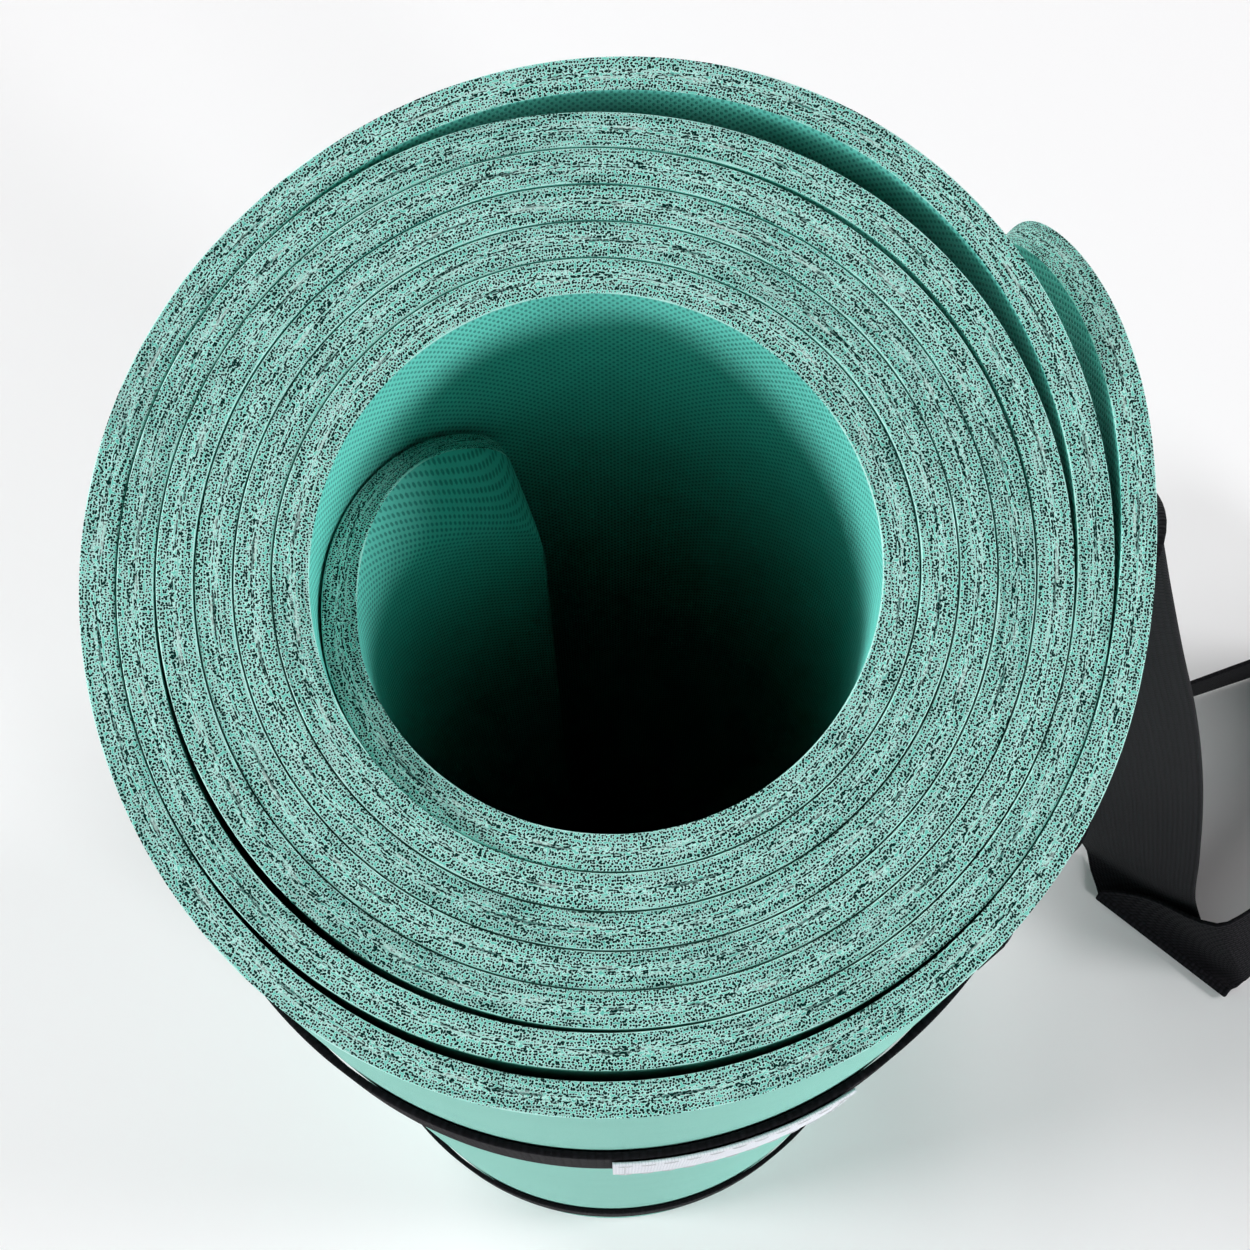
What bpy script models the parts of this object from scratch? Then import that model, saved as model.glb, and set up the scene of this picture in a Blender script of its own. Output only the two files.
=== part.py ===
# A foam exercise mat rolled up and stood on end, with a webbing carrying strap cinched round it.
# Lengths are in metres and angles in degrees. +Z runs up the roll and -Y is its front.
# Angles along the sheet, called turns here, count on past 360 from the inner end to the outer.
import math

import bpy
from mathutils import Vector

# Sheet
sheet_width = 0.610  # the roll's height
sheet_thickness = 0.0040
turn_gap = 0.00043  # clear space left between one turn and the next
core_radius = 0.0289  # inner face of the plain spiral at the core turn
core_turn = 122
inner_corner_radius = 0.062
outer_corner_radius = 0.035
inner_end_turn = 116.5
outer_end_turn = 2565
column_step = 7.5  # angle from one column of points to the next
inner_corner_columns = 24
outer_corner_columns = 8

# Inner end, which curls into the bore, while its two corners lean back out
tail_curl = 0.0086
tail_curl_from = 198  # turn where it leaves the turn outside it
tail_curl_to = 124
lip_spring = 0.0089
lip_height = 0.019  # along the roll, from the sheet's edge to where the leaning starts
lip_from = 194
lip_to = 130

# Gaps that stand open between two turns
back_gap = 0.0034
front_gap = 0.0010
second_gap = 0.0007
third_gap = 0.00045
gap_places = (  # turn at the middle, angle to either side, and how far it opens
    (2225, 75, back_gap),
    (2426, 62, front_gap),
    (2032, 60, second_gap),
    (1845, 50, third_gap),
)
back_flat = 0.00055  # every turn lies a little flatter at the back
back_flat_middle = 58
back_flat_spread = 72

# The free outer end springs out at the top and bottom, past where the strap presses it flat
flap_spring = 0.006
flap_from = 2505
flare_height = 0.080
full_flare_height = 0.020
row_shares = (0, 0.22, 0.46, 0.72, 1)  # rows of points over the flare, and over the lip

# Webbing and its seats
webbing_width = 0.038
webbing_thickness = 0.0011
clearance = 0.0003
loop_inset = 0.093  # from the roll's end to the nearer edge of a strap loop
tab_end = 328  # where the sewn-back end stops, round the roll
ring_middle = 351
peel_lean = 12.5  # angle at which the free run leaves the ring, outward from the roll
peel_length = 0.006  # from the ring to where the free run starts
tab_slope = 0.010  # length over which a ply comes down from the ring
least_turn = 2  # between the end of a ply and the next bend in it

# Wire ring that each loop runs back through
ring_wire = 0.0040
ring_length = 0.014  # between the middles of its two long bars
ring_corner = 0.003
ring_side_gap = 0.001  # between the webbing's edge and the ring

# Bare patch sewn flat on the upper loop
patch_from = 271
patch_to = 302.5
patch_width = 0.0372
patch_thickness = 0.0006

millimetre = 0.001

# Free run of the strap: the two edges of the webbing, left and right, in millimetres from the
# roll's axis and the floor. It peels off the upper ring, hangs to the floor, folds over once on
# the slant and stands up on its edge.
upper_route = (
    ((73.2, 14.0, 477.0), (75.0, 14.5, 515.0)),
    ((74.3, 25.8, 470.5), (79.4, 26.5, 508.0)),
    ((70.5, 34.0, 457.5), (80.6, 35.0, 494.0)),
    ((67.0, 38.5, 439.5), (83.2, 38.5, 474.0)),
    ((65.0, 40.0, 415.5), (88.8, 39.0, 445.0)),
    ((64.8, 40.5, 383.5), (96.3, 38.5, 404.5)),
    ((72.7, 41.0, 330.0), (107.5, 38.0, 345.0)),
    ((84.2, 42.0, 266.5), (120.8, 37.5, 276.0)),
    ((96.6, 42.5, 197.0), (133.8, 37.0, 202.5)),
    ((108.2, 43.5, 128.5), (144.5, 34.5, 136.0)),
    ((118.0, 43.0, 71.0), (152.5, 29.0, 79.0)),
    ((127.0, 43.0, 24.0), (158.6, 24.0, 33.0)),
    ((133.0, 41.3, 3.5), (163.0, 19.5, 15.0)),
    ((134.2, 36.0, 1.2), (167.0, 12.0, 5.5)),
    ((136.3, 29.0, 1.0), (172.3, 1.3, 1.0)),
    ((135.6, 28.0, 2.2), (171.6, 0.3, 2.2)),
    ((137.0, 29.6, 3.4), (172.9, 2.0, 3.4)),
    ((148.0, 27.0, 13.0), (175.0, 3.0, 1.2)),
    ((164.2, 17.2, 34.0), (177.5, 5.2, 1.0)),
    ((173.4, 21.3, 35.0), (184.0, 11.2, 1.0)),
    ((187.0, 30.5, 36.5), (195.0, 20.0, 1.0)),
    ((201.0, 38.5, 37.8), (205.5, 31.5, 1.0)),
)
lower_route = (
    ((226.0, 66.0, 38.8), (226.0, 66.0, 0.8)),
    ((228.5, 78.0, 38.8), (228.5, 78.0, 0.8)),
    ((224.0, 90.0, 38.8), (224.0, 90.0, 0.8)),
    ((213.0, 97.0, 38.8), (213.0, 97.0, 0.8)),
    ((198.0, 97.0, 38.8), (198.0, 97.0, 0.8)),
    ((179.0, 91.0, 38.9), (179.0, 91.0, 0.9)),
    ((157.5, 83.0, 39.3), (157.0, 83.5, 1.3)),
    ((138.5, 75.5, 44.5), (136.5, 77.0, 6.6)),
    ((122.0, 67.0, 57.0), (118.0, 68.5, 19.3)),
    ((107.5, 57.5, 73.5), (101.5, 58.0, 36.0)),
    ((95.5, 47.0, 92.0), (88.5, 46.0, 54.7)),
    ((86.0, 34.0, 111.0), (80.8, 32.0, 73.5)),
    ((77.3, 18.0, 127.0), (75.5, 17.0, 89.2)),
)
route_step = 0.013


def clear_scene():
    for obj in list(bpy.data.objects):
        bpy.data.objects.remove(obj)


def material(name, colour, roughness, metallic=0.0):
    made = bpy.data.materials.new(name)
    made.use_nodes = True
    surface = made.node_tree.nodes["Principled BSDF"]
    surface.inputs["Base Color"].default_value = (*colour, 1)
    surface.inputs["Roughness"].default_value = roughness
    surface.inputs["Metallic"].default_value = metallic
    return made


def mesh_object(name, points, faces, finish, smooth_angle=30):
    mesh = bpy.data.meshes.new(name)
    mesh.from_pydata(points, [], faces)
    mesh.shade_smooth()
    mesh.set_sharp_from_angle(angle=math.radians(smooth_angle))
    mesh.materials.append(finish)
    obj = bpy.data.objects.new(name, mesh)
    bpy.context.collection.objects.link(obj)
    return obj


def smoothstep(share):
    share = min(max(share, 0), 1)
    return share * share * (3 - 2 * share)


def hump(offset, spread):
    """1 in the middle and 0 from spread on, to either side."""
    return math.cos(math.pi / 2 * min(abs(offset / spread), 1)) ** 2


def around(angle, radius, height=0.0):
    return Vector((radius * math.cos(math.radians(angle)), radius * math.sin(math.radians(angle)), height))


# The rolled sheet


def pitch():
    return sheet_thickness + turn_gap


def lifted(turn):
    """How far the sheet stands out past the plain spiral. A turn that opens a gap carries the
    turns outside it."""
    lift = 0.0
    for middle, spread, height in gap_places:
        while middle - spread < turn:
            lift += height * hump(turn - middle, spread)
            middle += 360
    return lift


def flap(turn, height):
    """How far the free outer end springs out."""
    depth = min(height, sheet_width - height)
    flare = smoothstep((flare_height - depth) / (flare_height - full_flare_height))
    return flap_spring * flare * max(0, (turn - flap_from) / (outer_end_turn - flap_from)) ** 2


def lip(turn, below):
    """How far the inner end leans out at a distance below its edge, and at which angle."""
    rise = lip_spring * smoothstep((lip_from - turn) / (lip_from - lip_to))
    share = max(0, 1 - below / lip_height)
    return rise * share**2, math.atan(2 * rise * share / lip_height)


def inner_radius(turn, height):
    """The sheet's inner face, measured from the roll's axis."""
    radius = core_radius + pitch() * (turn - core_turn) / 360
    radius -= tail_curl * smoothstep((tail_curl_from - turn) / (tail_curl_from - tail_curl_to))
    off_middle = (turn - back_flat_middle + 180) % 360 - 180
    radius -= back_flat * hump(off_middle, back_flat_spread)
    return radius + lifted(turn) + flap(turn, height)


def end_angle(distance, turn):
    """The angle that a length along the sheet takes up near one of its ends."""
    return math.degrees(distance / (inner_radius(turn, sheet_width / 2) + sheet_thickness / 2))


def corner(end_turn, radius, steps, way):
    """The turns of the columns over a rounded corner, from the sheet's end inward, and how far
    the corner drops at each."""
    places = []
    for step in range(steps + 1):
        share = math.pi / 2 * step / steps
        angle = end_angle(radius * (1 - math.cos(share)), end_turn)
        places.append((end_turn + way * angle, radius * (1 - math.sin(share))))
    return places


def columns():
    """The turns where the sheet has points, each with how far its rounded corners drop there."""
    places = corner(inner_end_turn, inner_corner_radius, inner_corner_columns, 1)
    first = places[-1][0]
    places += corner(outer_end_turn, outer_corner_radius, outer_corner_columns, -1)
    last = places[-1][0]
    steps = round((last - first) / column_step)
    for step in range(1, steps):
        places.append((first + (last - first) * step / steps, 0.0))
    return sorted(places)


def column_rows(turn, drop):
    """A column's points: the heights of its inner face, how far each lies below the sheet's
    nearer edge, and whether that edge is the lower one. Both ends of the sheet have more rows."""
    if turn > flap_from:
        depths = [share * (flare_height - drop) for share in row_shares]
    elif turn < lip_from:
        depths = [share * lip_height for share in row_shares]
    else:
        depths = [0.0]
    low = [(drop + depth, depth, 1) for depth in depths]
    return low + [(sheet_width - height, depth, -1) for height, depth, _ in reversed(low)]


def zip_columns(left, right):
    """Faces between two columns of point numbers, which may differ in count."""
    if len(left) == len(right):
        return [(left[i], right[i], right[i + 1], left[i + 1]) for i in range(len(left) - 1)]
    few, many = (left, right) if len(left) < len(right) else (right, left)
    half = len(many) // 2
    faces = [(few[0], many[i], many[i + 1]) for i in range(half - 1)]
    faces.append((few[0], many[half - 1], many[half], few[-1]))
    faces += [(few[-1], many[i], many[i + 1]) for i in range(half, len(many) - 1)]
    return faces if few is left else [face[::-1] for face in faces]


def build_sheet(finish):
    points, outer, inner = [], [], []
    for turn, drop in columns():
        rows = column_rows(turn, drop)
        for side, extra in ((outer, sheet_thickness), (inner, 0.0)):
            side.append(range(len(points), len(points) + len(rows)))
            for height, below, way in rows:
                leaned, lean = lip(turn, below)
                radius = inner_radius(turn, height) + leaned + extra * math.cos(lean)
                points.append(around(turn, radius, height + way * extra * math.sin(lean)))
    faces = []
    for i in range(len(outer) - 1):
        faces += zip_columns(outer[i], outer[i + 1])
        faces += [face[::-1] for face in zip_columns(inner[i], inner[i + 1])]
        faces.append((outer[i][0], inner[i][0], inner[i + 1][0], outer[i + 1][0]))
        faces.append((outer[i][-1], outer[i + 1][-1], inner[i + 1][-1], inner[i][-1]))
    faces += zip_columns(inner[0], outer[0]) + zip_columns(outer[-1], inner[-1])
    return mesh_object("mat_sheet", points, faces, finish)


def sheet_length():
    length, step = 0.0, 1
    for turn in range(round(inner_end_turn), outer_end_turn, step):
        radius = inner_radius(turn, sheet_width / 2) + sheet_thickness / 2
        length += radius * math.radians(step)
    return length


def least_gap():
    """The least clear space between one turn and the next, over all columns."""
    gaps = []
    for turn, _ in columns():
        if turn + 360 > outer_end_turn:
            break
        for below in (0, sheet_width / 2):
            leaned, lean = lip(turn, below)
            face = inner_radius(turn, below) + leaned + sheet_thickness * math.cos(lean)
            gaps.append(inner_radius(turn + 360, below) - face)
    return min(gaps)


# The strap


def taut_outline():
    """The shortest way round the roll where the strap presses it: the outline's convex hull."""
    points = []
    for turn, _ in columns():
        if turn > outer_end_turn - 400:
            radius = inner_radius(turn, sheet_width / 2) + sheet_thickness
            points.append(around(turn, radius).to_2d())
    points.sort(key=lambda point: (point.x, point.y))
    hull = []
    for way in (points, points[::-1]):
        side = []
        for point in way:
            while len(side) > 1 and (side[-1] - side[-2]).cross(point - side[-1]) <= 0:
                side.pop()
            side.append(point)
        hull += side[:-1]
    return hull


def taut_radius(outline, angle):
    ray = around(angle, 1).to_2d()
    for start, end in zip(outline, outline[1:] + outline[:1]):
        if ray.cross(start) <= 0 < ray.cross(end) and ray.dot(start + end) > 0:
            return start.cross(end) / ray.cross(end - start)
    return max(point.length for point in outline)


def ply_height(plies_below):
    """From the roll's surface to the middle of a ply."""
    return clearance + webbing_thickness / 2 + plies_below * (webbing_thickness + clearance)


def ring_height():
    """From the roll's surface to the middle of the ring's wire."""
    return ply_height(0) + bend_radius()


def bend_radius():
    """The middle of the webbing where it bends round a bar of the ring."""
    return ring_wire / 2 + clearance + webbing_thickness / 2


def arc_angle(length, outline):
    return math.degrees(length / (taut_radius(outline, ring_middle) + ring_height()))


def on_roll(outline, angle, height):
    return around(angle, taut_radius(outline, angle) + height)


def ply(outline, start, end, height):
    """Points of a ply lying round the roll: its two ends, and every bend of the outline between."""
    low, high = min(start, end) + least_turn, max(start, end) - least_turn
    bends = [math.degrees(math.atan2(point.y, point.x)) % 360 for point in outline]
    between = sorted(bend + lap for bend in bends for lap in (-360, 0, 360) if low < bend + lap < high)
    angles = [start, *(between if start < end else reversed(between)), end]
    return [on_roll(outline, angle, height) for angle in angles]


def climb(outline, bar_angle):
    """Points where the sewn-back ply climbs to the top of a ring bar."""
    high, low = ring_height() + bend_radius(), ply_height(1)
    points = []
    for share in (1, 0.7, 0.5, 0.3):
        angle = bar_angle - share * arc_angle(tab_slope, outline)
        points.append(on_roll(outline, angle, high + (low - high) * smoothstep(share)))
    return points


def wrap(outline, bar_angle, start, end, steps=8):
    """Points round a ring bar. 0 is outward from the roll and 90 onward round it."""
    middle = on_roll(outline, bar_angle, ring_height())
    return [
        middle + around(bar_angle + start + (end - start) * i / steps, bend_radius())
        for i in range(steps + 1)
    ]


def bar_angles(outline):
    half = arc_angle(ring_length, outline) / 2
    return ring_middle - half, ring_middle + half


def peel_point(outline, past_end):
    """The middle of the webbing where the free run starts, or a little past that."""
    second = bar_angles(outline)[1]
    leaves = wrap(outline, second, 180, 360 - peel_lean)[-1]
    return leaves + around(second + 90 - peel_lean, peel_length + past_end)


def loop_path(outline):
    """The middle line of a strap loop, from the free end of its sewn-back ply, round the first
    bar, once round the roll, and back round the second bar to where the free run peels off."""
    first, second = bar_angles(outline)
    path = ply(outline, tab_end, first - arc_angle(tab_slope, outline), ply_height(1))[:-1]
    path += climb(outline, first)
    path += wrap(outline, first, 0, 180)
    path += ply(outline, first, second - 360, ply_height(0))[1:-1]
    path += wrap(outline, second, 180, 360 - peel_lean)
    path.append(peel_point(outline, 0))
    return path


def strip(name, edges, thickness, finish):
    """A flat strip, from the pairs of points along its two edges."""
    points, faces = [], []
    middles = [(left + right) / 2 for left, right in edges]
    for i, (left, right) in enumerate(edges):
        ahead = middles[min(i + 1, len(edges) - 1)] - middles[i]
        behind = middles[i] - middles[max(i - 1, 0)]
        along = ahead.normalized() + behind.normalized()
        across = right - left
        offset = across.cross(along).normalized() * thickness / 2
        if 0 < i < len(edges) - 1:  # keeps the thickness through a bend
            offset /= max(math.cos(ahead.angle(behind) / 2), 0.7)
        points += [left + offset, right + offset, right - offset, left - offset]
        if i:
            ring, last = 4 * i, 4 * (i - 1)
            for k in range(4):
                j = (k + 1) % 4
                faces.append((last + k, last + j, ring + j, ring + k))
    end = 4 * (len(edges) - 1)
    faces += [(3, 2, 1, 0), (end, end + 1, end + 2, end + 3)]
    return mesh_object(name, points, faces, finish)


def upright(path, width):
    """Edges of a strip that stands on edge along a path in the XY plane, round height 0."""
    half = Vector((0, 0, width / 2))
    return [(point - half, point + half) for point in path]


def build_loop(name, outline, height, finish):
    loop = strip(name, upright(loop_path(outline), webbing_width), webbing_thickness, finish)
    loop.location.z = height
    return loop


def build_ring(name, outline, height, finish):
    """Round wire bent to a rectangle, with its long bars upright."""
    first, second = (on_roll(outline, angle, ring_height()) for angle in bar_angles(outline))
    middle, along = (first + second) / 2, (second - first).normalized()
    half_length = ring_length / 2 - ring_corner
    half_height = webbing_width / 2 + ring_side_gap + ring_wire / 2 - ring_corner
    curve = bpy.data.curves.new(name, "CURVE")
    curve.dimensions = "3D"
    curve.bevel_depth = ring_wire / 2
    curve.bevel_resolution = 2
    spline = curve.splines.new("POLY")
    corners = ((1, 1, 0), (-1, 1, 90), (-1, -1, 180), (1, -1, 270))
    arc_steps = 4
    spline.points.add(len(corners) * (arc_steps + 1) - 1)
    spline.use_cyclic_u = True
    for i, (across, up, start) in enumerate(corners):
        for k in range(arc_steps + 1):
            angle = math.radians(start + 90 * k / arc_steps)
            x = across * half_length + ring_corner * math.cos(angle)
            z = up * half_height + ring_corner * math.sin(angle)
            spline.points[i * (arc_steps + 1) + k].co = (*(middle + along * x + Vector((0, 0, z))), 1)
    curve.materials.append(finish)
    ring = bpy.data.objects.new(name, curve)
    bpy.context.collection.objects.link(ring)
    ring.location.z = height
    return ring


def build_patch(outline, height, finish):
    """The bare patch on the upper loop."""
    lift = ply_height(0) + webbing_thickness / 2 + clearance + patch_thickness / 2
    path = ply(outline, patch_from, patch_to, lift)
    patch = strip("label_patch", upright(path, patch_width), patch_thickness, finish)
    patch.location.z = height
    return patch


def peel_edges(outline, height):
    """The webbing's lower and upper edge where a free run starts, a clearance past its loop."""
    point = peel_point(outline, clearance) + Vector((0, 0, height))
    half = Vector((0, 0, webbing_width / 2))
    return point - half, point + half


def off_floor(left, right):
    """A pair of edge points, raised where it would sink into the floor."""
    lift = Vector((0, 0, max(0, webbing_thickness / 2 - min(left.z, right.z))))
    return left + lift, right + lift


def eased(a, b, c, d, share):
    """A point between b and c on the smooth curve through all four."""
    reach = (c - b).length
    leaving, arriving = (c - a).normalized() * reach, (d - b).normalized() * reach
    rest = 1 - share
    point = rest**2 * ((1 + 2 * share) * b + share * leaving)
    return point + share**2 * ((1 + 2 * rest) * c - rest * arriving)


def smooth_route(edges):
    """Even points along a smooth curve through the hand-set pairs of edge points."""
    pairs = [edges[0], *edges, edges[-1]]
    fine = []
    for a, b, c, d in zip(pairs, pairs[1:], pairs[2:], pairs[3:]):
        length = (sum(c, Vector()) - sum(b, Vector())).length / 2
        steps = max(1, round(length / route_step))
        fine += [[eased(a[k], b[k], c[k], d[k], i / steps) for k in range(2)] for i in range(steps)]
    return [off_floor(*pair) for pair in [*fine, edges[-1]]]


def set_edges(route):
    return [[Vector(point) * millimetre for point in pair] for pair in route]


def route_length(edges):
    middles = [(left + right) / 2 for left, right in edges]
    return sum((b - a).length for a, b in zip(middles, middles[1:]))


def run_edges(outline, upper_height, lower_height):
    """The free run's edge points, as its upper and its lower stretch."""
    upper = [list(peel_edges(outline, upper_height)), *set_edges(upper_route)]
    below, above = peel_edges(outline, lower_height)
    lower = [*set_edges(lower_route), [above, below]]
    meet = [(upper[-1][k] + lower[0][k]) / 2 for k in range(2)]
    apart = (lower[0][0] - upper[-1][0]).normalized() * clearance / 2
    upper.append([point - apart for point in meet])
    lower.insert(0, [point + apart for point in meet])
    return smooth_route(upper), smooth_route(lower)


# Putting it together


def stand_on_origin(rigid, others):
    """Moves everything so that the middle of the rigid pieces' box stands on the origin."""
    bpy.context.view_layer.update()
    corners = [obj.matrix_world @ Vector(corner) for obj in rigid for corner in obj.bound_box]
    for axis in range(2):
        values = [corner[axis] for corner in corners]
        middle = (min(values) + max(values)) / 2
        for obj in rigid + others:
            obj.location[axis] -= middle


def build():
    clear_scene()
    foam = material("foam", (0.30, 0.62, 0.53), 0.85)
    webbing = material("webbing", (0.02, 0.02, 0.024), 0.9)
    wire = material("ring_wire", (0.55, 0.55, 0.56), 0.35, 1.0)
    patch_cloth = material("patch_cloth", (0.82, 0.83, 0.86), 0.8)

    upper_height = sheet_width - loop_inset - webbing_width / 2
    lower_height = loop_inset + webbing_width / 2
    outline = taut_outline()
    rigid = [
        build_sheet(foam),
        build_loop("upper_loop_webbing", outline, upper_height, webbing),
        build_ring("upper_ring", outline, upper_height, wire),
        build_patch(outline, upper_height, patch_cloth),
        build_loop("lower_loop_webbing", outline, lower_height, webbing),
        build_ring("lower_ring", outline, lower_height, wire),
    ]
    upper_run, lower_run = run_edges(outline, upper_height, lower_height)
    runs = [
        strip("upper_run_webbing", upper_run, webbing_thickness, webbing),
        strip("lower_run_webbing", lower_run, webbing_thickness, webbing),
    ]
    stand_on_origin(rigid, runs)
    print(f"sheet {sheet_length():.3f} m long, turns at least {least_gap() * 1000:.2f} mm apart")
    print(f"free run {route_length(upper_run) + route_length(lower_run):.3f} m")
    print("roll axis", [round(value, 5) for value in rigid[0].location])


build()
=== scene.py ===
import math

import bpy
from mathutils import Matrix, Vector


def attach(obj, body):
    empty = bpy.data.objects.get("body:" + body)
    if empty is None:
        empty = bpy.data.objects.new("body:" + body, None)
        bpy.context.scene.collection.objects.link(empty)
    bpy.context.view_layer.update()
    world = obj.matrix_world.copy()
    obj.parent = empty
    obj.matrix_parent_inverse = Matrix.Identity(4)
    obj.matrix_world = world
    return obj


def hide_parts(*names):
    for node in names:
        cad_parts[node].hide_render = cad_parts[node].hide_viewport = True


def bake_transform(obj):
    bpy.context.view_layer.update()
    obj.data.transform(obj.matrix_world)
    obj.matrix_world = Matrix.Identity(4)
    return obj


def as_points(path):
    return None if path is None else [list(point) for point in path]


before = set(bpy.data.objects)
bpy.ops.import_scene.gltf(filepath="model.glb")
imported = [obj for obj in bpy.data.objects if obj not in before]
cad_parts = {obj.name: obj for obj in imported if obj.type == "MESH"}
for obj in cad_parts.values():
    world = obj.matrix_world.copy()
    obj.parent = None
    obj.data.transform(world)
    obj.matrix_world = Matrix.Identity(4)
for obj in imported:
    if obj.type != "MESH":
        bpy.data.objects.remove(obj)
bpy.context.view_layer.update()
mm = 0.001


# Camera, where the photographer stood: close above the roll, a little in front of it
camera = {"place": (-0.0024, -0.0796, 1.0136), "tilt": 0.18107, "roll": 0.00835, "lens": 103.7}


def makeCamera():
    eye = bpy.data.objects.new("camera", bpy.data.cameras.new("camera"))
    bpy.context.collection.objects.link(eye)
    eye.data.lens = camera["lens"]
    eye.data.sensor_width = 36
    eye.data.clip_start = 0.02
    turned = Matrix.Rotation(camera["tilt"], 4, "X") @ Matrix.Rotation(camera["roll"], 4, "Z")
    eye.matrix_world = Matrix.Translation(camera["place"]) @ turned
    bpy.context.scene.camera = eye


makeCamera()
print("camera stands")


# Shader sockets with arithmetic: an expression on them adds its Math nodes
class Wire:
    def __init__(self, tree, socket):
        self.tree = tree
        self.socket = socket

    def add(self, kind, settings, inputs, output=0):
        return addNode(self.tree, kind, settings, inputs, output)

    def maths(self, operation, *values):
        return self.add("ShaderNodeMath", {"operation": operation}, dict(enumerate(values)))

    def __add__(self, other):
        return self.maths("ADD", self, other)

    def __sub__(self, other):
        return self.maths("SUBTRACT", self, other)

    def __rsub__(self, other):
        return self.maths("SUBTRACT", other, self)

    def __mul__(self, other):
        return self.maths("MULTIPLY", self, other)

    def __truediv__(self, other):
        return self.maths("DIVIDE", self, other)

    __radd__ = __add__
    __rmul__ = __mul__

    def floor(self):
        return self.maths("FLOOR", self)

    def part(self):
        return self.maths("FRACT", self)

    def larger(self, other):
        return self.maths("MAXIMUM", self, other)

    def size(self):
        return self.maths("ABSOLUTE", self)

    def bump(self):
        # 0 at whole numbers and 1 half way between them
        return self.maths("SINE", self.part() * math.pi)

    def step(self, low, high):
        # 0 below low and 1 above high, or the other way round where low is the higher
        settings = {"interpolation_type": "SMOOTHSTEP"}
        ends = (low, high, 0.0, 1.0) if low < high else (high, low, 1.0, 0.0)
        return self.add("ShaderNodeMapRange", settings, dict(enumerate((self, *ends))))


def addNode(tree, kind, settings, inputs, output=0):
    node = tree.nodes.new(kind)
    for name, value in settings.items():
        setattr(node, name, value)
    for key, value in inputs.items():
        if isinstance(value, Wire):
            tree.links.new(value.socket, node.inputs[key])
        else:
            node.inputs[key].default_value = value
    return Wire(tree, node.outputs[output])


def colourOf(red, green, blue):
    # from the 0 to 255 that a picture editor shows
    shares = [value / 255 for value in (red, green, blue)]
    return (*(x / 12.92 if x < 0.04045 else ((x + 0.055) / 1.055) ** 2.4 for x in shares), 1)


def mixed(mask, low, high):
    settings = {"data_type": "RGBA"}
    return mask.add("ShaderNodeMix", settings, {0: mask, 6: low, 7: high}, output=2)


def point(x, y, z=0.0):
    return x.add("ShaderNodeCombineXYZ", {}, {0: x, 1: y, 2: z})


def noise(place, scale, detail=2.0, rough=0.5):
    inputs = {"Vector": place, "Scale": scale, "Detail": detail, "Roughness": rough}
    return place.add("ShaderNodeTexNoise", {}, inputs)


def cells(place, scale):
    # distance from the middle of the nearest cell of a flat pattern
    inputs = {"Vector": place, "Scale": scale, "Randomness": 0.7}
    return place.add("ShaderNodeTexVoronoi", {"voronoi_dimensions": "2D"}, inputs)


def chance(place):
    return place.add("ShaderNodeTexWhiteNoise", {"noise_dimensions": "3D"}, {"Vector": place})


def split(place, part):
    return place.add("ShaderNodeSeparateXYZ", {}, {0: place}, part)


def startMaterial(name):
    made = bpy.data.materials.new(name)
    made.use_nodes = True
    return made, made.node_tree.nodes["Principled BSDF"]


def millimetres(tree):
    # along and across a piece, from its UV map, in millimetres
    uv = addNode(tree, "ShaderNodeUVMap", {"uv_map": "flat"}, {})
    return split(uv, 0) * 1000, split(uv, 1) * 1000


def dress(surface, colour, roughness, height, depth, metallic=0.0, strength=1.0):
    tree = surface.id_data
    inputs = {"Strength": strength, "Distance": depth, "Height": height}
    normal = addNode(tree, "ShaderNodeBump", {}, inputs)
    tree.links.new(colour.socket, surface.inputs["Base Color"])
    tree.links.new(normal.socket, surface.inputs["Normal"])
    if isinstance(roughness, Wire):
        tree.links.new(roughness.socket, surface.inputs["Roughness"])
    else:
        surface.inputs["Roughness"].default_value = roughness
    surface.inputs["Metallic"].default_value = metallic


# Geometry Nodes trees with named inputs, and the plain mesh that one makes of a piece
def startTree(name, titles):
    tree = bpy.data.node_groups.new(name, "GeometryNodeTree")
    tree.interface.new_socket("Geometry", in_out="INPUT", socket_type="NodeSocketGeometry")
    for title in titles:
        tree.interface.new_socket(title, in_out="INPUT", socket_type="NodeSocketFloat")
    tree.interface.new_socket("Geometry", in_out="OUTPUT", socket_type="NodeSocketGeometry")
    start = tree.nodes.new("NodeGroupInput")
    inputs = {socket.name: Wire(tree, socket) for socket in start.outputs if socket.name}
    return tree, inputs


def endTree(tree, shape):
    end = tree.nodes.new("NodeGroupOutput")
    tree.links.new(shape.socket, end.inputs[0])


def bakeTree(piece, tree, sizes):
    modifier = piece.modifiers.new(tree.name, "NODES")
    modifier.node_group = tree
    for socket in tree.interface.items_tree:
        if socket.name in sizes:
            modifier[socket.identifier] = sizes[socket.name]
    bpy.context.view_layer.update()
    evaluated = piece.evaluated_get(bpy.context.evaluated_depsgraph_get())
    baked = bpy.data.meshes.new_from_object(evaluated)
    piece.modifiers.clear()
    piece.data = baked
    return baked


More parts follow.
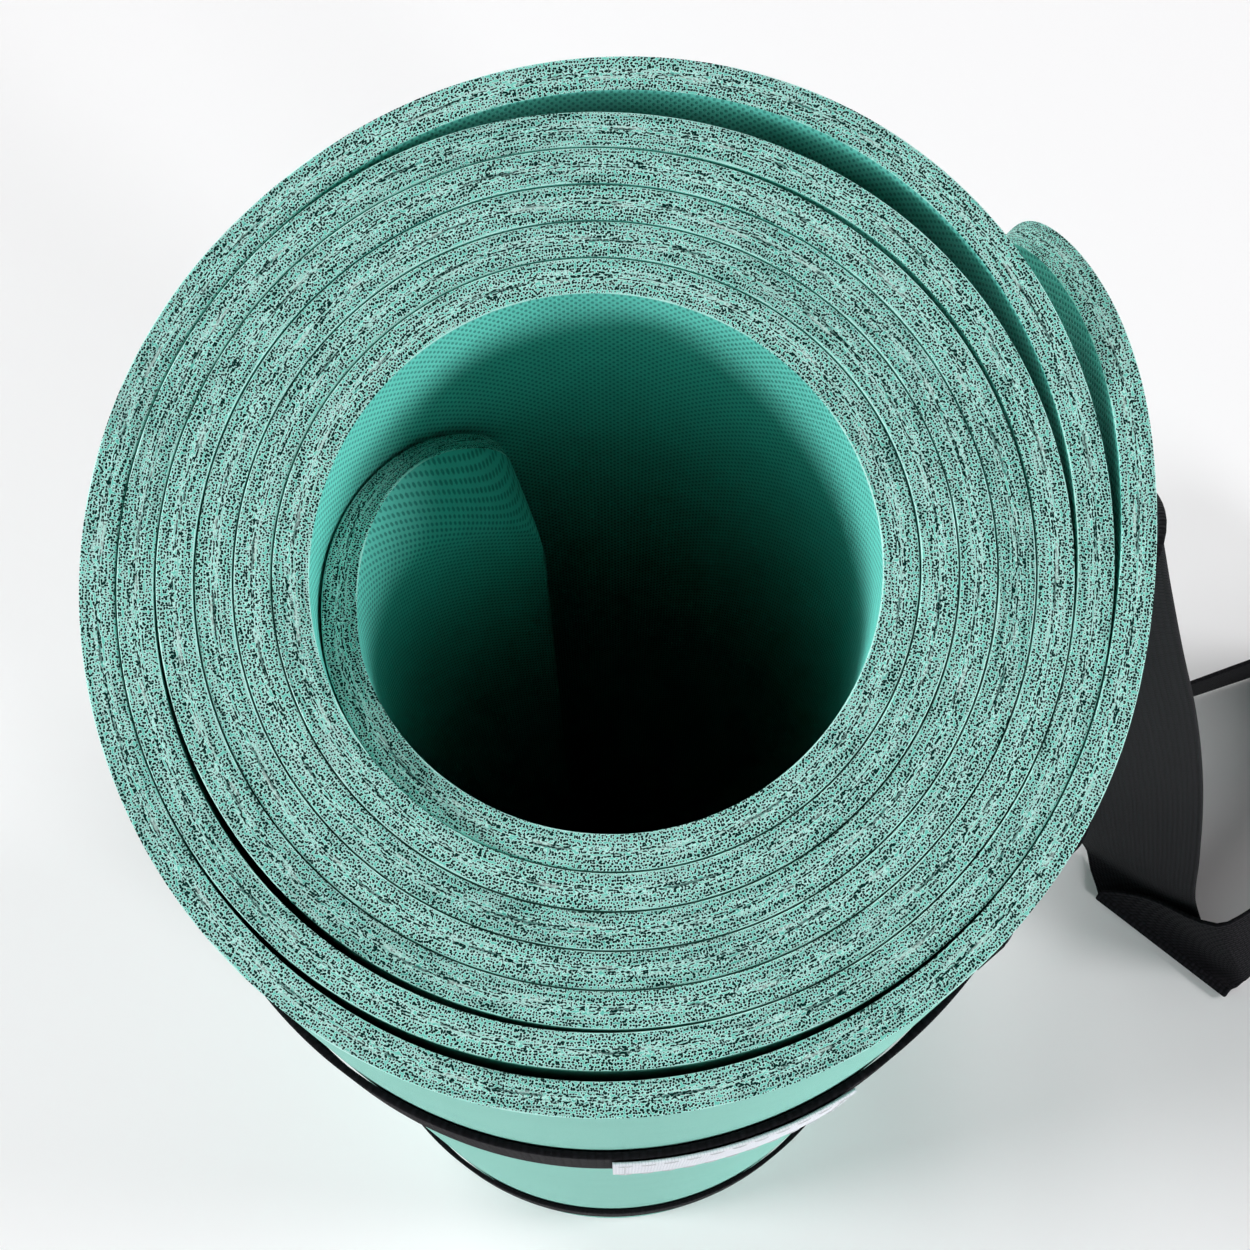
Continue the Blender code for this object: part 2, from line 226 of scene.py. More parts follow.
# The roll's own sizes, as the solids have them
sheet = {
    "width": 0.610,
    "thickness": 0.0040,
    "gap": 0.00043,
    "core": 0.0289,
    "coreTurn": 122,
    "innerEnd": 116.5,
    "outerEnd": 2565,
    "columnStep": 1.7,
    "corners": (("innerEnd", 0.062, 90, 1), ("outerEnd", 0.035, 26, -1)),  # radius, steps, way in
    "tailCurl": 0.0086,
    "tailFrom": 198,
    "tailTo": 124,
    "lip": (0.0089, 0.019, 194, 130),  # how far it leans out, over which length, from and to
    "gapPlaces": ((2225, 75, 0.0034), (2426, 62, 0.0010), (2032, 60, 0.0007), (1845, 50, 0.00045)),
    "backFlat": (0.00055, 58, 72),
    "flapSpring": 0.006,
    "flapFrom": 2505,
    "flare": (0.080, 0.020),
    "swell": 0.00011,  # soft foam fills most of the gap to the turn beside it
    "lastTurn": (372, 24),  # from the outer end, with nothing outside it, and how softly it starts
    "bevel": 0.00016,
    "edgeWander": 0.0005,  # the cut edges don't lie quite level
    "rows": (0.0015, 0.004, 0.007, 0.0105, 0.0145, 0.019, 0.025, 0.031, 0.041, 0.052, 0.065, 0.080),
    "axis": (-0.00463, 0.00095),
}


def eased(share):
    share = min(max(share, 0), 1)
    return share * share * (3 - 2 * share)


def hump(offset, spread):
    return math.cos(math.pi / 2 * min(abs(offset / spread), 1)) ** 2


def around(angle, radius, height=0.0):
    angle = math.radians(angle)
    return Vector((radius * math.cos(angle), radius * math.sin(angle), height))


def lifted(turn):
    lift = 0.0
    for middle, spread, height in sheet["gapPlaces"]:
        while middle - spread < turn:
            lift += height * hump(turn - middle, spread)
            middle += 360
    return lift


def flap(turn, height):
    depth = min(height, sheet["width"] - height)
    start, full = sheet["flare"]
    reach = max(0, (turn - sheet["flapFrom"]) / (sheet["outerEnd"] - sheet["flapFrom"]))
    return sheet["flapSpring"] * eased((start - depth) / (start - full)) * reach**2


def lip(turn, below):
    # how far the inner end leans out at a distance below its edge, and at which angle
    spring, length, start, full = sheet["lip"]
    rise = spring * eased((start - turn) / (start - full))
    share = max(0, 1 - below / length)
    return rise * share**2, math.atan(2 * rise * share / length)


def spiral(turn):
    return sheet["core"] + (sheet["thickness"] + sheet["gap"]) * (turn - sheet["coreTurn"]) / 360


def innerRadius(turn, height):
    start, full = sheet["tailFrom"], sheet["tailTo"]
    radius = spiral(turn) - sheet["tailCurl"] * eased((start - turn) / (start - full))
    flat, middle, spread = sheet["backFlat"]
    radius -= flat * hump((turn - middle + 180) % 360 - 180, spread)
    return radius + lifted(turn) + flap(turn, height)


def middleRadius(turn):
    return innerRadius(turn, sheet["width"] / 2) + sheet["thickness"] / 2


def sheetColumns():
    # turns where the sheet has points, each with how far its rounded corners drop there
    places, inward = [], []
    for end, radius, steps, way in sheet["corners"]:
        end = sheet[end]
        for step in range(steps + 1):
            share = math.pi / 2 * step / steps
            angle = math.degrees(radius * (1 - math.cos(share)) / middleRadius(end))
            places.append((end + way * angle, radius * (1 - math.sin(share))))
        inward.append(places[-1][0])
    first, last = inward
    steps = round((last - first) / sheet["columnStep"])
    places += [(first + (last - first) * i / steps, 0.0) for i in range(1, steps)]
    return sorted(places)


def wander(turn):
    # a slow rise and fall of a cut edge, from 0 to 1, different in each turn of the roll
    angle = math.radians(turn)
    slow = 0.22 * math.sin(0.83 * angle + 1) + 0.12 * math.sin(0.31 * angle + 2)
    return 0.5 + slow + 0.16 * math.sin(1.9 * angle)


def sheetPoint(turn, height, below, lift):
    # radius and height of a point that far out from the sheet's inner face
    rise, lean = lip(turn, below)
    way = 1 if height < sheet["width"] / 2 else -1
    radius = innerRadius(turn, height) + rise + lift * math.cos(lean)
    return radius, height + way * lift * math.sin(lean)


def measured(rows):
    # each point of a face with its place across the sheet, measured along the face from its middle
    middle = len(rows) // 2
    across = [sheet["width"] / 2] * len(rows)
    for way in (-1, 1):
        i = middle
        while 0 <= i + way < len(rows):
            across[i + way] = across[i] + way * math.dist(rows[i], rows[i + way])
            i += way
    return [(*place, value) for place, value in zip(rows, across)]


def sheetSection(turn, drop):
    # one closed loop of (radius, height, across) round the sheet's thickness
    low = drop + sheet["edgeWander"] * wander(turn + 140)
    high = sheet["width"] - drop - sheet["edgeWander"] * wander(turn)
    half = sheet["width"] / 2
    depths = [sheet["bevel"], *sheet["rows"]]
    below = [depth * (half - low) / half for depth in depths]
    above = [depth * (high - half) / half for depth in reversed(depths)]
    rows = [(low + depth, depth) for depth in below] + [(half, half)]
    rows += [(high - depth, depth) for depth in above]
    start, softness = sheet["lastTurn"]
    outermost = eased((turn - sheet["outerEnd"] + start) / softness)
    inward, outward = -sheet["swell"], sheet["thickness"] + sheet["swell"] * (1 - outermost)
    thick = outward - inward
    shares = [sheet["bevel"] / thick, 0.25, 0.5, 0.75, 1 - sheet["bevel"] / thick]
    cuts = [share * thick for share in shares]
    section = measured([sheetPoint(turn, z, depth, outward) for z, depth in rows])
    section += [(*sheetPoint(turn, high, 0, outward - cut), cut) for cut in cuts]
    section += measured([sheetPoint(turn, z, depth, inward) for z, depth in rows])[::-1]
    section += [(*sheetPoint(turn, low, 0, outward - cut), cut) for cut in reversed(cuts)]
    return section, len(rows), thick


def smoothed(mesh, angle=30):
    mesh.shade_smooth()
    mesh.set_sharp_from_angle(angle=math.radians(angle))


def makeMesh(name, points, faces, flats, materials):
    mesh = bpy.data.meshes.new(name)
    mesh.from_pydata(points, [], faces)
    for material in materials:
        mesh.materials.append(material)
    layer = mesh.uv_layers.new(name="flat")
    layer.uv.foreach_set("vector", [value for face in flats for pair in face for value in pair])
    piece = bpy.data.objects.new(name, mesh)
    bpy.context.collection.objects.link(piece)
    return piece


def rollTree(outer, inner, cut):
    # rolls up a flat sheet: x is the turn in degrees, y the height and z the lift off the spiral
    tree, inputs = startTree("roll", ("Core", "Core Turn", "Layer", "Axis X", "Axis Y"))
    place = addNode(tree, "GeometryNodeInputPosition", {}, {})
    turn, height, lift = (split(place, k) for k in range(3))
    radius = inputs["Core"] + (turn - inputs["Core Turn"]) / 360 * inputs["Layer"] + lift
    angle = turn * (math.pi / 180)
    x = radius * angle.maths("COSINE", angle) + inputs["Axis X"]
    y = radius * angle.maths("SINE", angle) + inputs["Axis Y"]
    rolled = {"Geometry": inputs["Geometry"], "Position": point(x, y, height)}
    shape = addNode(tree, "GeometryNodeSetPosition", {}, rolled)
    shape = addNode(tree, "GeometryNodeRealizeInstances", {}, {0: shape})
    shape = addNode(tree, "GeometryNodeSetMaterial", {}, {"Geometry": shape, "Material": outer})
    side = addNode(tree, "GeometryNodeInputNamedAttribute", {"data_type": "INT"}, {"Name": "side"})
    for number, material in ((1, inner), (2, cut)):
        chosen = side.maths("COMPARE", side, number, 0.1)
        inputs = {"Geometry": shape, "Selection": chosen, "Material": material}
        shape = addNode(tree, "GeometryNodeSetMaterial", {}, inputs)
    endTree(tree, shape)
    return tree


def makeSheet(outer, inner, cut):
    columns = sheetColumns()
    points, faces, sides, flats = [], [], [], []
    along, edge, before, dropBefore = 0.0, 0.0, *columns[0]
    previous = None
    for turn, drop in columns:
        section, rows, thick = sheetSection(turn, drop)
        pace = math.radians(turn - before) * middleRadius(turn)
        along += pace
        edge += math.hypot(pace, drop - dropBefore)  # longer than the face at a rounded corner
        before, dropBefore = turn, drop
        size = len(section)
        edgePoints = size // 2 - rows
        innerFirst, innerLast = rows + edgePoints, size - 1 - edgePoints
        points += [(turn, z, radius - spiral(turn)) for radius, z, _ in section]
        if previous is not None:
            last, lastAlong, lastEdge, lastSection, lastThick = previous
            for k in range(size):
                j = (k + 1) % size
                faces.append((last + k, last + size + k, last + size + j, last + j))
                onSide = k < rows - 1 or innerFirst <= k < innerLast
                sides.append((0 if k < rows else 1) if onSide else 2)
                start, end = (lastAlong, along) if onSide else (lastEdge, edge)
                corners = ((start, k, lastSection, lastThick), (end, k, section, thick))
                corners += ((end, j, section, thick), (start, j, lastSection, lastThick))
                flat = []
                for place, n, own, depth in corners:
                    value = own[n][2]
                    if not onSide and n in (0, rows - 1):
                        value = 0.0
                    if not onSide and n in (innerFirst, innerLast):
                        value = depth
                    flat.append((place, value))
                flats.append(flat)
        previous = (len(points) - size, along, edge, section, thick)
    caps = [(k, k + 1, innerLast - k - 1, innerLast - k) for k in range(rows - 1)]
    caps.append(tuple(range(rows - 1, innerFirst + 1)))
    caps.append((0, *range(size - 1, innerLast, -1), innerLast)[::-1])
    ends = ((0, sheetSection(*columns[0])[0], 1), (len(points) - size, section, -1))
    for first, section, way in ends:
        for cap in caps:
            cap = cap[::way]
            faces.append(tuple(first + k for k in cap))
            sides.append(2)
            flats.append([(section[k][1], section[0][0] - section[k][0]) for k in cap])
    piece = makeMesh("matSheet", points, faces, flats, [])
    piece.data.attributes.new("side", "INT", "FACE").data.foreach_set("value", sides)
    sizes = {
        "Core": sheet["core"],
        "Core Turn": float(sheet["coreTurn"]),
        "Layer": sheet["thickness"] + sheet["gap"],
        "Axis X": sheet["axis"][0],
        "Axis Y": sheet["axis"][1],
    }
    baked = bakeTree(piece, rollTree(outer, inner, cut), sizes)
    baked.attributes.remove(baked.attributes["side"])
    smoothed(baked)
    return piece


# Foam finishes
cutFoam = {
    "wall": colourOf(114, 211, 195),
    "rim": colourOf(208, 255, 248),  # the lit edge of each open cell
    "shade": colourOf(54, 153, 139),
    "lilac": colourOf(204, 230, 226),
    # painted shade: the dark colour put inside the open cells and the torn hollows
    "holeShade": colourOf(0, 42, 37),
    "yarn": colourOf(210, 242, 236),
    "poreScale": 2.75,  # cells to a millimetre
    "middle": 2.1,  # mm from the outer face to the scrim bonded in the foam
    "yarnPitch": 11.0,  # mm from one show of the scrim's yarn to the next
    "skins": ((0.2, 0.06), (3.98, 4.14)),  # mm from the outer face, where the foam is closed; there the edge is also painted lighter, as a highlight
}


def makeCutFoam():
    made, surface = startMaterial("foamCutEdge")
    along, across = millimetres(made.node_tree)
    place = point(along, across)
    drift = noise(place, 1.3, 2.0) - 0.5
    fine = cells(point(along + drift * 0.5, across + drift * 0.3), cutFoam["poreScale"])
    drawn = cells(point(along * 0.5 + drift, across * 1.15 + drift * 0.3), cutFoam["poreScale"])
    fine = fine + (drawn - fine) * (across - cutFoam["middle"]).size().step(1.2, 0.2) * 0.6
    streak = noise(point(along * 0.2, across * 2.6), 1.0, 4.0, 0.65) - 0.5
    patchy = noise(point(along * 0.5, across * 0.9), 1.0, 2.0) - 0.5
    pale = noise(point(along * 0.12, across * 2.2), 1.0, 4.0, 0.65).step(0.5, 0.62)
    outerSkin, innerSkin = cutFoam["skins"]
    skin = across.step(*outerSkin).larger(across.step(*innerSkin))
    closed = skin * noise(point(along * 0.06, across * 0.3), 1.0, 2.0).step(0.4, 0.56)
    reach = 0.37 + streak * 0.6 + patchy * 0.2 - closed * 0.3 - pale * 0.1
    # the open cells are painted dark as shade
    shadedPores = (fine - reach).step(0.08, -0.05)
    # painted highlight on the lit rim of each open cell
    litRims = (fine - reach).step(0.26, 0.09)
    # the scrim leaves a torn hollow here and there, painted dark as shade, and its yarn comes up to
    # the cut in dashes
    wave = noise(point(along * 0.05, along * 0.0), 1.0, 1.0) - 0.5
    offMiddle = across - cutFoam["middle"] - wave * 1.2
    ragged = noise(point(along * 1.6, across * 1.6), 1.0, 3.0, 0.6) - 0.5
    gape = noise(point(along * 0.11, along * 0.0 + 5.0), 1.0, 2.0)
    torn = noise(point(along * 0.9, along * 0.0 + 3.0), 1.0, 3.0, 0.7) - 0.5
    shadedHollow = (offMiddle + torn * 0.9).size().step(0.2, 0.06)
    shadedHollow = shadedHollow * (gape + ragged * 0.25).step(0.53, 0.57)
    run = along / cutFoam["yarnPitch"] + wave * 1.5
    pick = chance(point(run.floor(), run.floor() * 0.0))
    second = chance(point(run.floor(), run.floor() * 0.0 + 7.0))
    inDash = (run.part() - 0.5).size() + ragged * 0.1 - (0.02 + pick * 0.12)
    yarn = (offMiddle + 0.3 - second * 0.9 + ragged * 0.4).size().step(0.24, 0.06)
    yarn = yarn * inDash.step(0.03, -0.02) * pick.step(0.25, 0.7)
    tone = noise(point(along * 0.02, along * 0.0), 1.0, 2.0) - 0.5
    teal = (streak + tone * 0.6 + 0.05).step(0.0, 0.2)
    wall = mixed(teal * 0.9, cutFoam["wall"], cutFoam["shade"])
    wall = mixed(litRims * (0.95 - teal * 0.3), wall, cutFoam["rim"])
    wall = mixed(pale * 0.45, wall, cutFoam["lilac"])
    # the skins along the cut's edges are lightened with the lit rim colour: painted highlight where
    # the edge catches light, and the paler closed foam
    wall = mixed(skin * 0.2 + closed * 0.5, wall, cutFoam["rim"])
    wall = mixed(shadedHollow * 0.75, wall, cutFoam["holeShade"])
    dark = shadedPores.larger(shadedHollow * 0.8)
    colour = mixed(shadedPores, wall, cutFoam["holeShade"])
    colour = mixed(yarn * 0.55, colour, cutFoam["yarn"])
    dress(surface, colour, 0.88, 1 - dark + yarn * 0.4, 0.0002, strength=0.6)
    surface.inputs["Specular IOR Level"].default_value = 0.05
    return made


faceFoam = {
    "innerHigh": colourOf(113, 220, 207),
    # the Low colours are painted into the embossed dents as shade, and lightly into random clouds
    "innerLow": colourOf(30, 128, 119),
    "innerPitch": (1.05, 1.1),  # mm between the dents of the embossed grain, along and across
    "innerDent": (0.23, 0.58),  # half a dent's width and height
    "outerHigh": colourOf(132, 201, 187),
    "outerLow": colourOf(98, 172, 159),
    "outerPitch": (0.62, 0.56),
    "outerDent": (0.22, 0.22),
}


def makeFaceFoam(name, side, depth):
    high, low, pitch, dent = (faceFoam[side + what] for what in ("High", "Low", "Pitch", "Dent"))
    made, surface = startMaterial(name)
    along, across = millimetres(made.node_tree)
    row = across / pitch[1]
    stagger = (row.floor() * 0.5).part()
    wide = ((along / pitch[0] + stagger).part() - 0.5) * (pitch[0] / dent[0])
    tall = (row.part() - 0.5) * (pitch[1] / dent[1])
    shadedDents = (wide * wide + tall * tall).step(1.15, 0.35)
    place = point(along, across)
    cloudy = noise(place, 0.05, 3.0, 0.6)
    grain = noise(place, 3.5, 2.0)
    # painted shade: the embossed dents are mixed towards the Low colour
    colour = mixed(shadedDents * (0.45 + 0.5 * grain), high, low)
    colour = mixed((cloudy - 0.5).step(-0.1, 0.25) * 0.12, colour, low)
    glint = (*(min(1, 1.25 * x) for x in high[:3]), 1)
    colour = mixed((grain - 0.5).step(0.05, 0.3) * 0.25, colour, glint)
    dress(surface, colour, 0.62 + 0.2 * grain, 1 - shadedDents + grain * 0.3, depth, strength=0.7)
    return made


# Strap, as the solids have it
strap = {
    "width": 0.038,
    "thickness": 0.0011,
    "clearance": 0.0003,
    "join": 0.00004,  # from a loop to the run that carries it on
    "inset": 0.093,
    "tabEnd": 328,
    "ringMiddle": 351,
    "ringLength": 0.014,
    "ringWire": 0.0040,
    "peelLean": 12.5,
    "peelLength": 0.006,
    "tabSlope": 0.010,
    "step": 0.003,  # between the cross-sections of a finished ribbon
    "pressed": 400,  # degrees of the sheet, from its outer end, that can touch the strap
}


def tautOutline():
    # the convex hull of the roll where the strap presses it
    points, start = [], sheet["outerEnd"] - strap["pressed"]
    for turn, _ in sheetColumns():
        if turn > start:
            outside = innerRadius(turn, sheet["width"] / 2) + sheet["thickness"]
            points.append(around(turn, outside).to_2d())
    points.sort(key=lambda place: (place.x, place.y))
    hull = []
    for way in (points, points[::-1]):
        side = []
        for place in way:
            while len(side) > 1 and (side[-1] - side[-2]).cross(place - side[-1]) <= 0:
                side.pop()
            side.append(place)
        hull += side[:-1]
    return hull


def tautRadius(angle):
    ray = around(angle, 1).to_2d()
    for start, end in zip(outline, outline[1:] + outline[:1]):
        if ray.cross(start) <= 0 < ray.cross(end) and ray.dot(start + end) > 0:
            return start.cross(end) / ray.cross(end - start)
    return max(place.length for place in outline)


outline = tautOutline()


def plyHeight(below):
    layer = strap["thickness"] + strap["clearance"]
    return strap["clearance"] + strap["thickness"] / 2 + below * layer


bendRadius = strap["ringWire"] / 2 + strap["clearance"] + strap["thickness"] / 2
ringHeight = plyHeight(0) + bendRadius


def arcAngle(length):
    return math.degrees(length / (tautRadius(strap["ringMiddle"]) + ringHeight))


def onRoll(angle, height):
    return around(angle, tautRadius(angle) + height)


def ply(start, end, height, step=1.5):
    steps = max(1, round(abs(end - start) / step))
    return [onRoll(start + (end - start) * i / steps, height) for i in range(steps + 1)]


def climb(barAngle):
    high, low = ringHeight + bendRadius, plyHeight(1)
    shares = [1 - i / 8 for i in range(8)]
    return [
        onRoll(barAngle - share * arcAngle(strap["tabSlope"]), high + (low - high) * eased(share))
        for share in shares
    ]


def wrap(barAngle, start, end, steps=18):
    middle = onRoll(barAngle, ringHeight)
    angles = (barAngle + start + (end - start) * i / steps for i in range(steps + 1))
    return [middle + around(angle, bendRadius) for angle in angles]


halfRing = arcAngle(strap["ringLength"]) / 2
barAngles = (strap["ringMiddle"] - halfRing, strap["ringMiddle"] + halfRing)


def peelPoint(pastEnd):
    leaves = wrap(barAngles[1], 180, 360 - strap["peelLean"])[-1]
    return leaves + around(barAngles[1] + 90 - strap["peelLean"], strap["peelLength"] + pastEnd)


def loopPath():
    first, second = barAngles
    path = ply(strap["tabEnd"], first - arcAngle(strap["tabSlope"]), plyHeight(1))[:-1]
    path += climb(first) + wrap(first, 0, 180) + ply(first, second - 360, plyHeight(0))[1:-1]
    path += wrap(second, 180, 360 - strap["peelLean"]) + [peelPoint(-0.003), peelPoint(0)]
    return path


def thinned(path, step):
    # drops points that lie closer together than a step
    kept = [path[0]]
    for place in path[1:-1]:
        if (place - kept[-1]).length > step:
            kept.append(place)
    return [*kept, path[-1]]


def makeRibbon(name, edges, width, thickness, materials, corner=0.45):
    # a strip with rounded edges, from the pairs of points along its two sides
    half, steps = thickness / 2, 4
    rounding = []
    for k in range(steps + 1):
        angle = math.pi / 2 * k / steps
        rounding.append((corner * half * (1 - math.sin(angle)) * 2, half * math.cos(angle)))
    flat = [(width * share, half) for share in (0.12, 0.3, 0.5, 0.7, 0.88)]
    top = rounding[::-1] + flat + [(width - x, y) for x, y in rounding]
    profile = top + [(x, -y) for x, y in reversed(top)][1:-1]
    middles = [(left + right) / 2 for left, right in edges]
    points, faces, flats = [], [], []
    along, previous = 0.0, 0.0
    size = len(profile)
    for i, (left, right) in enumerate(edges):
        ahead = middles[min(i + 1, len(edges) - 1)] - middles[i]
        behind = middles[i] - middles[max(i - 1, 0)]
        direction = ahead.normalized() + behind.normalized()
        side = right - left
        normal = side.cross(direction).normalized()
        if 0 < i < len(edges) - 1:
            normal /= max(math.cos(ahead.angle(behind) / 2), 0.7)
        points += [left + side * (x / width) + normal * y for x, y in profile]
        previous, along = along, along + behind.length
        if i:
            now, last = i * size, (i - 1) * size
            for k in range(size):
                j = (k + 1) % size
                faces.append((last + k, last + j, now + j, now + k))
                a, b = profile[k][0], profile[j][0]
                flats.append([(previous, a), (previous, b), (along, b), (along, a)])
    for start, way in ((0, -1), (size * (len(edges) - 1), 1)):
        order = list(range(size))[::way]
        faces.append([start + k for k in order])
        flats.append([(profile[k][1] + along, profile[k][0]) for k in order])
    ribbon = makeMesh(name, points, faces, flats, materials)
    smoothed(ribbon.data, 40)
    return ribbon


def upright(path, width, height):
    half = Vector((0, 0, width / 2))
    shift = Vector((*sheet["axis"], height))
    return [(place + shift - half, place + shift + half) for place in path]


webbing = {
    "yarn": colourOf(29, 28, 33),
    # painted shade between the yarns of the weave
    "dark": colourOf(7, 7, 9),
    "fuzz": colourOf(54, 54, 58),
    "pick": 1.15,  # mm from one weft yarn to the next
    "rib": 1.27,
    "selvedge": (17.6, 18.2),  # mm from the middle, where the woven edge begins
}


def makeWebbing():
    made, surface = startMaterial("charcoalWebbing")
    along, across = millimetres(made.node_tree)
    place = point(along, across)
    wobble = (noise(place, 0.5, 2.0) - 0.5) * 0.3
    pick, rib = along / webbing["pick"] + wobble, across / webbing["rib"]
    odd = ((pick.floor() + rib.floor()) * 0.5).part() * 2
    warp = rib.bump() * (0.55 + 0.45 * pick.bump())
    weft = pick.bump() * (0.4 + 0.3 * rib.bump())
    height = warp * (1 - odd) + weft * odd
    fibre = noise(point(along * 1.5, across * 9), 1.0, 3.0, 0.7)
    # painted shade: the low places of the weave take the dark colour
    colour = mixed(height.step(0.1, 0.85) * (0.55 + 0.45 * fibre), webbing["dark"], webbing["yarn"])
    worn = noise(place, 0.12, 3.0, 0.6).step(0.5, 0.8) * 0.3
    colour = mixed((fibre - 0.5).step(0.05, 0.3) * (0.25 + worn), colour, webbing["fuzz"])
    selvedge = (across - strap["width"] / 2 / mm).size().step(*webbing["selvedge"])
    dress(surface, colour, 0.86, height + fibre * 0.25 + selvedge * 0.6, 0.00035, strength=0.9)
    surface.inputs["Specular IOR Level"].default_value = 0.08
    surface.inputs["Sheen Weight"].default_value = 0.015
    surface.inputs["Sheen Roughness"].default_value = 0.5
    return made


def makeLoop(name, height, material):
    edges = upright(thinned(loopPath(), 0.0005), strap["width"], height)
    return makeRibbon(name, edges, strap["width"], strap["thickness"], [material])


# Free run of the strap: the webbing's two edges, left and right, as the solids have them
upperRoute = (
    ((73.2, 14.0, 477.0), (75.0, 14.5, 515.0)),
    ((74.3, 25.8, 470.5), (79.4, 26.5, 508.0)),
    ((70.5, 34.0, 457.5), (80.6, 35.0, 494.0)),
    ((67.0, 38.5, 439.5), (83.2, 38.5, 474.0)),
    ((65.0, 40.0, 415.5), (88.8, 39.0, 445.0)),
    ((64.8, 40.5, 383.5), (96.3, 38.5, 404.5)),
    ((72.7, 41.0, 330.0), (107.5, 38.0, 345.0)),
    ((84.2, 42.0, 266.5), (120.8, 37.5, 276.0)),
    ((96.6, 42.5, 197.0), (133.8, 37.0, 202.5)),
    ((108.2, 43.5, 128.5), (144.5, 34.5, 136.0)),
    ((118.0, 43.0, 71.0), (152.5, 29.0, 79.0)),
    ((127.0, 43.0, 24.0), (158.6, 24.0, 33.0)),
    ((133.0, 41.3, 3.5), (163.0, 19.5, 15.0)),
    ((134.2, 36.0, 1.2), (167.0, 12.0, 5.5)),
    ((136.3, 29.0, 1.0), (172.3, 1.3, 1.0)),
    ((135.6, 28.0, 2.2), (171.6, 0.3, 2.2)),
    ((137.0, 29.6, 3.4), (172.9, 2.0, 3.4)),
    ((148.0, 27.0, 13.0), (175.0, 3.0, 1.2)),
    ((164.2, 17.2, 34.0), (177.5, 5.2, 1.0)),
    ((173.4, 21.3, 35.0), (184.0, 11.2, 1.0)),
    ((187.0, 30.5, 36.5), (195.0, 20.0, 1.0)),
    ((201.0, 38.5, 37.8), (205.5, 31.5, 1.0)),
)
lowerRoute = (
    ((226.0, 66.0, 38.8), (226.0, 66.0, 0.8)),
    ((228.5, 78.0, 38.8), (228.5, 78.0, 0.8)),
    ((224.0, 90.0, 38.8), (224.0, 90.0, 0.8)),
    ((213.0, 97.0, 38.8), (213.0, 97.0, 0.8)),
    ((198.0, 97.0, 38.8), (198.0, 97.0, 0.8)),
    ((179.0, 91.0, 38.9), (179.0, 91.0, 0.9)),
    ((157.5, 83.0, 39.3), (157.0, 83.5, 1.3)),
    ((138.5, 75.5, 44.5), (136.5, 77.0, 6.6)),
    ((122.0, 67.0, 57.0), (118.0, 68.5, 19.3)),
    ((107.5, 57.5, 73.5), (101.5, 58.0, 36.0)),
    ((95.5, 47.0, 92.0), (88.5, 46.0, 54.7)),
    ((86.0, 34.0, 111.0), (80.8, 32.0, 73.5)),
    ((77.3, 18.0, 127.0), (75.5, 17.0, 89.2)),
)


def between(a, b, c, d, share):
    # a point between b and c on the smooth curve through all four
    reach = (c - b).length
    leaving, arriving = (c - a).normalized() * reach, (d - b).normalized() * reach
    rest = 1 - share
    place = rest**2 * ((1 + 2 * share) * b + share * leaving)
    return place + share**2 * ((1 + 2 * rest) * c - rest * arriving)


def smoothRoute(edges):
    pairs = [edges[0], *edges, edges[-1]]
    fine = []
    for a, b, c, d in zip(pairs, pairs[1:], pairs[2:], pairs[3:]):
        length = (sum(c, Vector()) - sum(b, Vector())).length / 2
        steps = max(2, round(length / strap["step"]))
        for i in range(steps):
            fine.append([between(a[k], b[k], c[k], d[k], i / steps) for k in range(2)])
    fine.append(edges[-1])
    rest, raised = strap["thickness"] / 2, []
    for pair in fine:
        lift = Vector((0, 0, max(0, rest - min(pair[0].z, pair[1].z))))
        raised.append([place + lift for place in pair])
    return raised


def runEdges(upperHeight, lowerHeight):
    half = Vector((0, 0, strap["width"] / 2))
    upperStart = peelPoint(strap["join"]) + Vector((0, 0, upperHeight))
    lowerEnd = peelPoint(strap["join"]) + Vector((0, 0, lowerHeight))
    upper = [[upperStart - half, upperStart + half]]
    upper += [[Vector(place) * mm for place in pair] for pair in upperRoute]
    lower = [[Vector(place) * mm for place in pair] for pair in lowerRoute]
    lower.append([lowerEnd + half, lowerEnd - half])
    meet = [(upper[-1][k] + lower[0][k]) / 2 for k in range(2)]
    upper.append(meet)
    lower.insert(0, meet)
    shift = Vector((*sheet["axis"], 0))
    fine = (smoothRoute(run) for run in (upper, lower))
    return [[[place + shift for place in pair] for pair in run] for run in fine]


def makeRun(name, edges, material, node, atStart):
    piece = makeRibbon(name, edges, strap["width"], strap["thickness"], [material])
    path = [(left + right) / 2 for left, right in edges]
    path = path if atStart else path[::-1]
    length = sum((b - a).length for a, b in zip(path, path[1:]))
    print(name, f"{length:.3f} m")
    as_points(path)
    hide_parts(node)
    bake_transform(piece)


halfStrap = strap["width"] / 2
heights = (sheet["width"] - strap["inset"] - halfStrap, strap["inset"] + halfStrap)
charcoal = makeWebbing()
upperEdges, lowerEdges = runEdges(*heights)
makeRun("upperRun", upperEdges, charcoal, "upper_run_webbing", True)
makeRun("lowerRun", lowerEdges, charcoal, "lower_run_webbing", False)
print("sling hangs")

for name, node, height, body in (
    ("upperLoop", "upper_loop_webbing", heights[0], "upper_loop"),
    ("lowerLoop", "lower_loop_webbing", heights[1], "lower_loop"),
):
    loop = makeLoop(name, height, charcoal)
    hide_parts(node)
    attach(loop, body)
print("strap loops lie round the roll")

outerFoam = makeFaceFoam("foamOuterFace", "outer", 0.00008)
innerFoam = makeFaceFoam("foamInnerFace", "inner", 0.00025)
mat = makeSheet(outerFoam, innerFoam, makeCutFoam())
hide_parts("mat_sheet")
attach(mat, "mat")
print("mat is rolled:", len(mat.data.polygons), "faces")


# Rings of plain wire
ring = {"corner": 0.003, "sideGap": 0.001, "cornerSteps": 8, "sides": 20}


